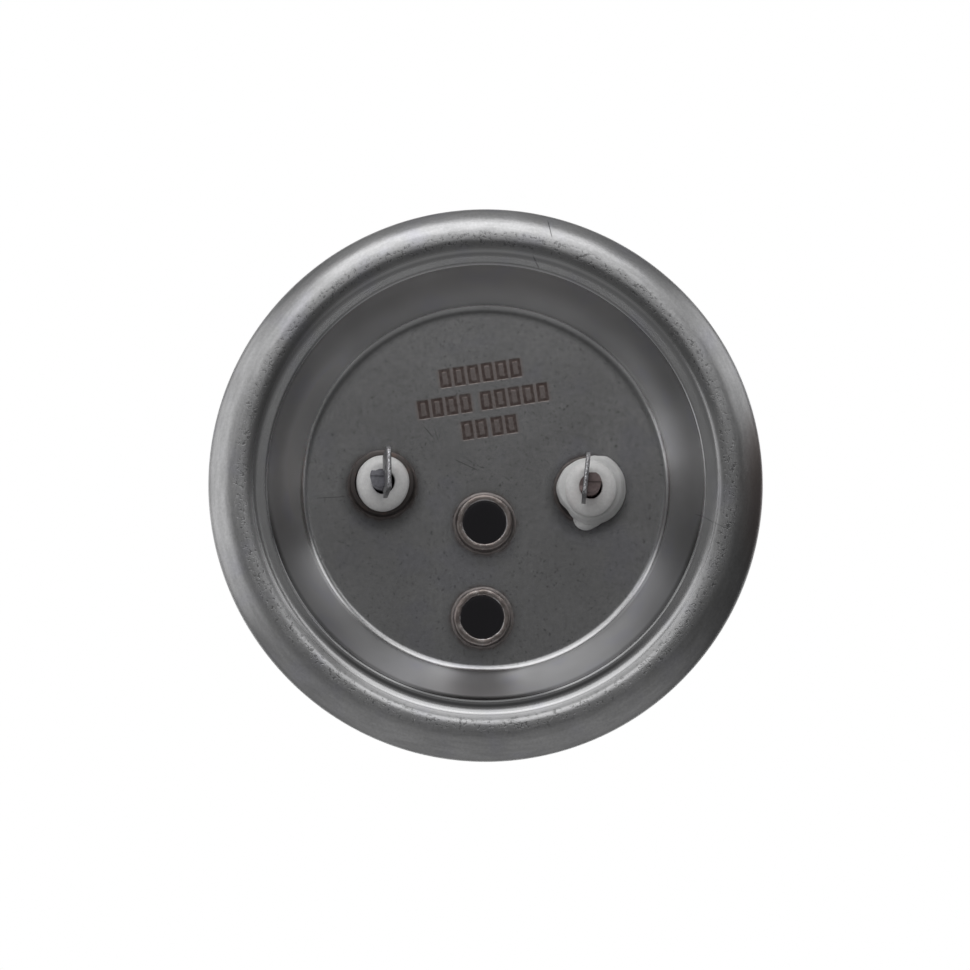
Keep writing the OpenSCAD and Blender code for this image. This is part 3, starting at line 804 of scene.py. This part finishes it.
def terminal_steel():
    """Bare steel with a coarse, speckled scale, and a painted highlight along the tab's tip."""
    n = Finish("terminal_steel", (0.29, 0.29, 0.3), 1.0, 0.4)
    speckle = n.noise(4.0, 3.0, gain=0.7)
    n.shade(n.smooth(speckle, 0.38, 0.62, -1.0, 1.0), 0.55)
    n.tint(n.smooth(n.noise(0.9, 3.0), 0.52, 0.66, 0.0, 0.5), (0.11, 0.1, 0.1))
    # Painted highlight along the tab's tip.
    n.shade(n.smooth(n.z, TAB_TIP_Z - 0.9, TAB_TIP_Z - 0.2), 1.3)
    n.bump(speckle, 0.06)
    return n.done()


def pin_steel():
    """Oxidised steel: dark, with a bluish and a brown cast, and lightened on its lower side as painted
    light.
    """
    n = Finish("pin_steel", (0.15, 0.15, 0.165), 1.0, 0.6)
    n.tint(n.smooth(n.x, -1.0, 1.0), (0.15, 0.12, 0.118))
    # Painted light: the pins' lower faces are lightened.
    n.shade(n.smooth(n.y, 0.05, -0.3), 1.6)
    n.shade(n.math("SUBTRACT", n.noise(3.0, 3.0), 0.5), 0.8)
    n.bump(n.noise(4.0, 3.0), 0.02)
    return n.done()


def steatite():
    n = Finish("steatite", (0.8, 0.795, 0.79), 0.0, 0.38)
    n.shade(n.math("SUBTRACT", n.noise(0.6, 3.0), 0.5), 0.12)
    n.shade(n.math("SUBTRACT", n.noise(2.6, 4.0, gain=0.7), 0.5), 0.4)
    n.tint(n.smooth(n.noise(0.45, 2.0), 0.55, 0.75, 0.0, 0.3), (0.78, 0.72, 0.71))
    n.shade(n.smooth(n.z, INSULATOR_END_Z - 0.5, INSULATOR_END_Z - 1.6), -0.35)
    n.bump(n.noise(2.0, 3.0), 0.02)
    return n.done()


def sealant():
    n = Finish("sealant", (0.74, 0.74, 0.735), 0.0, 0.55)
    # Painted shade: darker on the collar's side that faces away from the key lamp, towards the lower
    # right.
    away = n.math("SUBTRACT", n.math("MULTIPLY", n.math("SUBTRACT", n.x, LEG_X), 0.8),
                  n.math("MULTIPLY", n.y, 0.6))
    n.shade(n.smooth(away, 1.2, 3.6), -0.3)
    n.shade(n.smooth(n.y, -3.8, -4.4), 0.22)
    n.shade(n.math("SUBTRACT", n.noise(0.5, 3.0), 0.5), 0.15)
    n.shade(n.math("SUBTRACT", n.noise(2.2, 4.0, gain=0.7), 0.5), 0.25)
    n.bump(n.noise(1.1, 3.0), 0.05)
    return n.done()


def magnesia():
    n = Finish("magnesia", (0.78, 0.77, 0.74), 0.0, 0.9)
    n.shade(n.math("SUBTRACT", n.noise(3.0, 4.0), 0.5), 0.2)
    n.bump(n.noise(6.0, 3.0), 0.03)
    return n.done()


def resistance_wire():
    n = Finish("resistance_wire", (0.16, 0.155, 0.15), 1.0, 0.5)
    # Painted light and shade in bands across the wire's turns, with a matching bump.
    turns = n.math("SINE", n.math("MULTIPLY", n.z, math.tau / 0.5))
    n.shade(turns, 0.3)
    n.bump(turns, 0.05)
    return n.done()


# Stage, lights and camera

KEY_LEVEL = 1.27
ROOM_LEVEL = 0.145
CEILING_LEVEL = 0.36
GROUND_LEVEL = 0.31
RIGHT_SHARE = 0.5
ROOM_R = 1.6
ROOM_OPENING = math.cos(math.radians(32))
FLOOR_R = 1.5
FLOOR_HEIGHT = -0.35


def soft_lamp(name, x, y, z, width, height, level, distance, shape="RECTANGLE"):
    """A softbox in a direction from the flange, facing it. level is its own brightness."""
    data = bpy.data.lights.new(name, "AREA")
    data.shape = shape
    data.size, data.size_y = width, height
    data.energy = (math.pi if shape == "ELLIPSE" else 4) * level * width * height
    lamp = bpy.data.objects.new(name, data)
    bpy.context.scene.collection.objects.link(lamp)
    lamp.location = place(x, y, z).normalized() * distance
    lamp.rotation_euler = (-lamp.location).to_track_quat("-Z", "Y").to_euler()
    lamp.visible_camera = False
    return lamp


def background_rays(tree):
    """1 for rays that show the background: the camera's, and those that metal or glass mirrors."""
    rays = tree.nodes.new("ShaderNodeLightPath")
    seen = rays.outputs["Is Camera Ray"]
    for kind in ("Is Glossy Ray", "Is Transmission Ray"):
        either = tree.nodes.new("ShaderNodeMath")
        either.operation = "MAXIMUM"
        tree.links.new(seen, either.inputs[0])
        tree.links.new(rays.outputs[kind], either.inputs[1])
        seen = either.outputs[0]
    return seen


def build_world():
    """A white background in a dim room."""
    world = bpy.data.worlds.new("studio")
    bpy.context.scene.world = world
    world.use_nodes = True
    tree = world.node_tree
    tree.nodes.clear()
    mix = tree.nodes.new("ShaderNodeMixShader")
    output = tree.nodes.new("ShaderNodeOutputWorld")
    tree.links.new(background_rays(tree), mix.inputs[0])
    for socket, strength in ((mix.inputs[1], ROOM_LEVEL), (mix.inputs[2], 1.0)):
        shade = tree.nodes.new("ShaderNodeBackground")
        shade.inputs["Color"].default_value = (1, 1, 1, 1)
        shade.inputs["Strength"].default_value = strength
        tree.links.new(shade.outputs[0], socket)
    tree.links.new(mix.outputs[0], output.inputs[0])


def build_floor():
    """A pale sweep that takes the object's shadow and runs out into the white background."""
    bm = bmesh.new()
    bmesh.ops.create_circle(bm, cap_ends=True, segments=96, radius=FLOOR_R)
    bmesh.ops.translate(bm, vec=(0, 0, FLOOR_HEIGHT), verts=bm.verts)
    n = Finish("studio_floor", (0.8, 0.8, 0.8), 0.0, 0.8)
    n.shade(n.math("SUBTRACT", n.noise(0.01, 2.0), 0.5), 0.02)
    material = n.done()
    tree = n.tree
    reach = n.vector("LENGTH", n.combine(n.x, n.y, n.z))
    away = n.smooth(reach, 450.0, 1250.0, 0.55, 1.0)
    white = tree.nodes.new("ShaderNodeEmission")
    mix = tree.nodes.new("ShaderNodeMixShader")
    n.put(mix.inputs[0], n.math("MULTIPLY", background_rays(tree), away))
    tree.links.new(n.shader.outputs[0], mix.inputs[1])
    tree.links.new(white.outputs[0], mix.inputs[2])
    output = next(node for node in tree.nodes if node.type == "OUTPUT_MATERIAL")
    tree.links.new(mix.outputs[0], output.inputs[0])
    material.cycles.emission_sampling = "NONE"
    new_object("studio_floor", bm, material)


def build_room():
    """A dim grey tent round the studio, open towards the background behind the object."""
    bm = bmesh.new()
    bmesh.ops.create_uvsphere(bm, u_segments=64, v_segments=48, radius=ROOM_R)
    opening = [f for f in bm.faces if f.calc_center_median().normalized().y > ROOM_OPENING]
    bmesh.ops.delete(bm, geom=opening, context="FACES")
    for v in bm.verts:
        v.co.z = max(v.co.z, FLOOR_HEIGHT + 0.005)
    n = Finish("room_grey", (0.0, 0.0, 0.0), 0.0, 1.0)
    reach = n.vector("LENGTH", n.combine(n.x, n.y, n.z))
    level = n.smooth(n.y, 880.0, 1520.0, ROOM_LEVEL, CEILING_LEVEL)
    level = n.math("ADD", level, n.smooth(reach, 1050.0, 350.0, 0.0, GROUND_LEVEL - ROOM_LEVEL))
    level = n.math("MULTIPLY", level, n.smooth(n.x, 100.0, 1100.0, 1.0, RIGHT_SHARE))
    glow = n.tree.nodes.new("ShaderNodeEmission")
    output = next(node for node in n.tree.nodes if node.type == "OUTPUT_MATERIAL")
    n.put(glow.inputs["Strength"], level)
    n.tree.links.new(glow.outputs[0], output.inputs[0])
    n.material.cycles.emission_sampling = "NONE"
    room = new_object("studio_room", bm, n.material, 180)
    room.visible_camera = False
    room.visible_shadow = False


CAMERA_DISTANCE = 0.5
CAMERA_BELOW = math.radians(5.8)
CAMERA_ROLL = math.radians(1.5)
SENSOR_MM = 36
IMAGE_PX = 970
PX_PER_MM = 8.6625
AIM_Z = 2.0
AIM_PX = (485.6, 483.7)


def build_camera():
    data = bpy.data.cameras.new("camera")
    data.sensor_width = SENSOR_MM
    focal_px = PX_PER_MM * CAMERA_DISTANCE / MM
    data.lens = focal_px * SENSOR_MM / IMAGE_PX
    camera = bpy.data.objects.new("camera", data)
    bpy.context.scene.collection.objects.link(camera)
    aim = place(0, 0, AIM_Z)
    back_off = Vector((0, -math.cos(CAMERA_BELOW), -math.sin(CAMERA_BELOW)))
    camera.location = aim + back_off * CAMERA_DISTANCE
    turn = Euler((math.pi / 2 + CAMERA_BELOW, 0, 0)).to_matrix()
    roll = Euler((0, 0, CAMERA_ROLL)).to_matrix()
    camera.rotation_euler = (turn @ roll).to_euler()
    data.clip_start, data.clip_end = 0.01, 50
    data.shift_x = (IMAGE_PX / 2 - AIM_PX[0]) / IMAGE_PX
    data.shift_y = (AIM_PX[1] - IMAGE_PX / 2) / IMAGE_PX
    bpy.context.scene.camera = camera


# The dressed part

TUBES = [(side * LEG_X, 0.0, SHEATH_R) for side in (-1, 1)]
TUBES += [(*centre(node), SLEEVE_R) for node in ("sleeve_upper", "sleeve_lower")]

build_camera()
build_world()
build_floor()
build_room()
soft_lamp("key_softbox", -0.08, 0.85, 0.51, 0.7, 0.3, KEY_LEVEL, 0.55, "ELLIPSE")
soft_lamp("front_panel", -0.12, 0.53, 0.84, 0.6, 0.28, 0.85, 0.55)
soft_lamp("left_panel", -1.0, 0.16, 0.0, 1.3, 0.85, 0.6, 0.7)
soft_lamp("upper_right_panel", 0.82, 0.55, 0.0, 1.2, 0.35, 0.62, 0.7)

pressed = flange_steel()
tube_steel = sheath_steel()
pocket_steel = sleeve_steel()
braze = braze_metal()
tab_steel = terminal_steel()
dark_steel = pin_steel()
ceramic = steatite()
silicone = sealant()

build_flange(pressed)
build_sheath(tube_steel)
build_sleeve("sleeve_upper", pocket_steel, 0.03, 3.0)
build_sleeve("sleeve_lower", pocket_steel, 0.07, 11.0)
for seed, (node, tube_r) in enumerate((
        ("braze_heater_left", SHEATH_R), ("braze_heater_right", SHEATH_R),
        ("braze_sleeve_upper", SLEEVE_R), ("braze_sleeve_lower", SLEEVE_R))):
    build_braze(node, tube_r, braze, 5.0 * seed)
build_insulator("insulator_left", ceramic, 1.0, (0.22, -0.12))
build_insulator("insulator_right", ceramic, 7.0, (0.15, -0.05))
build_sealant(silicone)
for side in ("left", "right"):
    build_refined("terminal_pin_" + side, "pin_" + side, dark_steel, 0.06)
    build_refined("terminal_tab_" + side, "tab_" + side, tab_steel, 0.07)
for level in ("upper", "lower"):
    build_refined("sleeve_plug_" + level, "plug_" + level, pocket_steel, 0.1)
build_refined("anode_nut", "nut_for_anode", tube_steel, 0.12)
build_refined("anode_nut_weld", "weld_of_anode_nut", braze, 0.1, 0.05, 2.0)

for node, material in (
        ("magnesia_fill", magnesia()), ("resistance_coil", resistance_wire()), ("seal_left", silicone)):
    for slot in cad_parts[node].material_slots:
        slot.material = material

scene = bpy.context.scene
scene.view_settings.view_transform = "Standard"
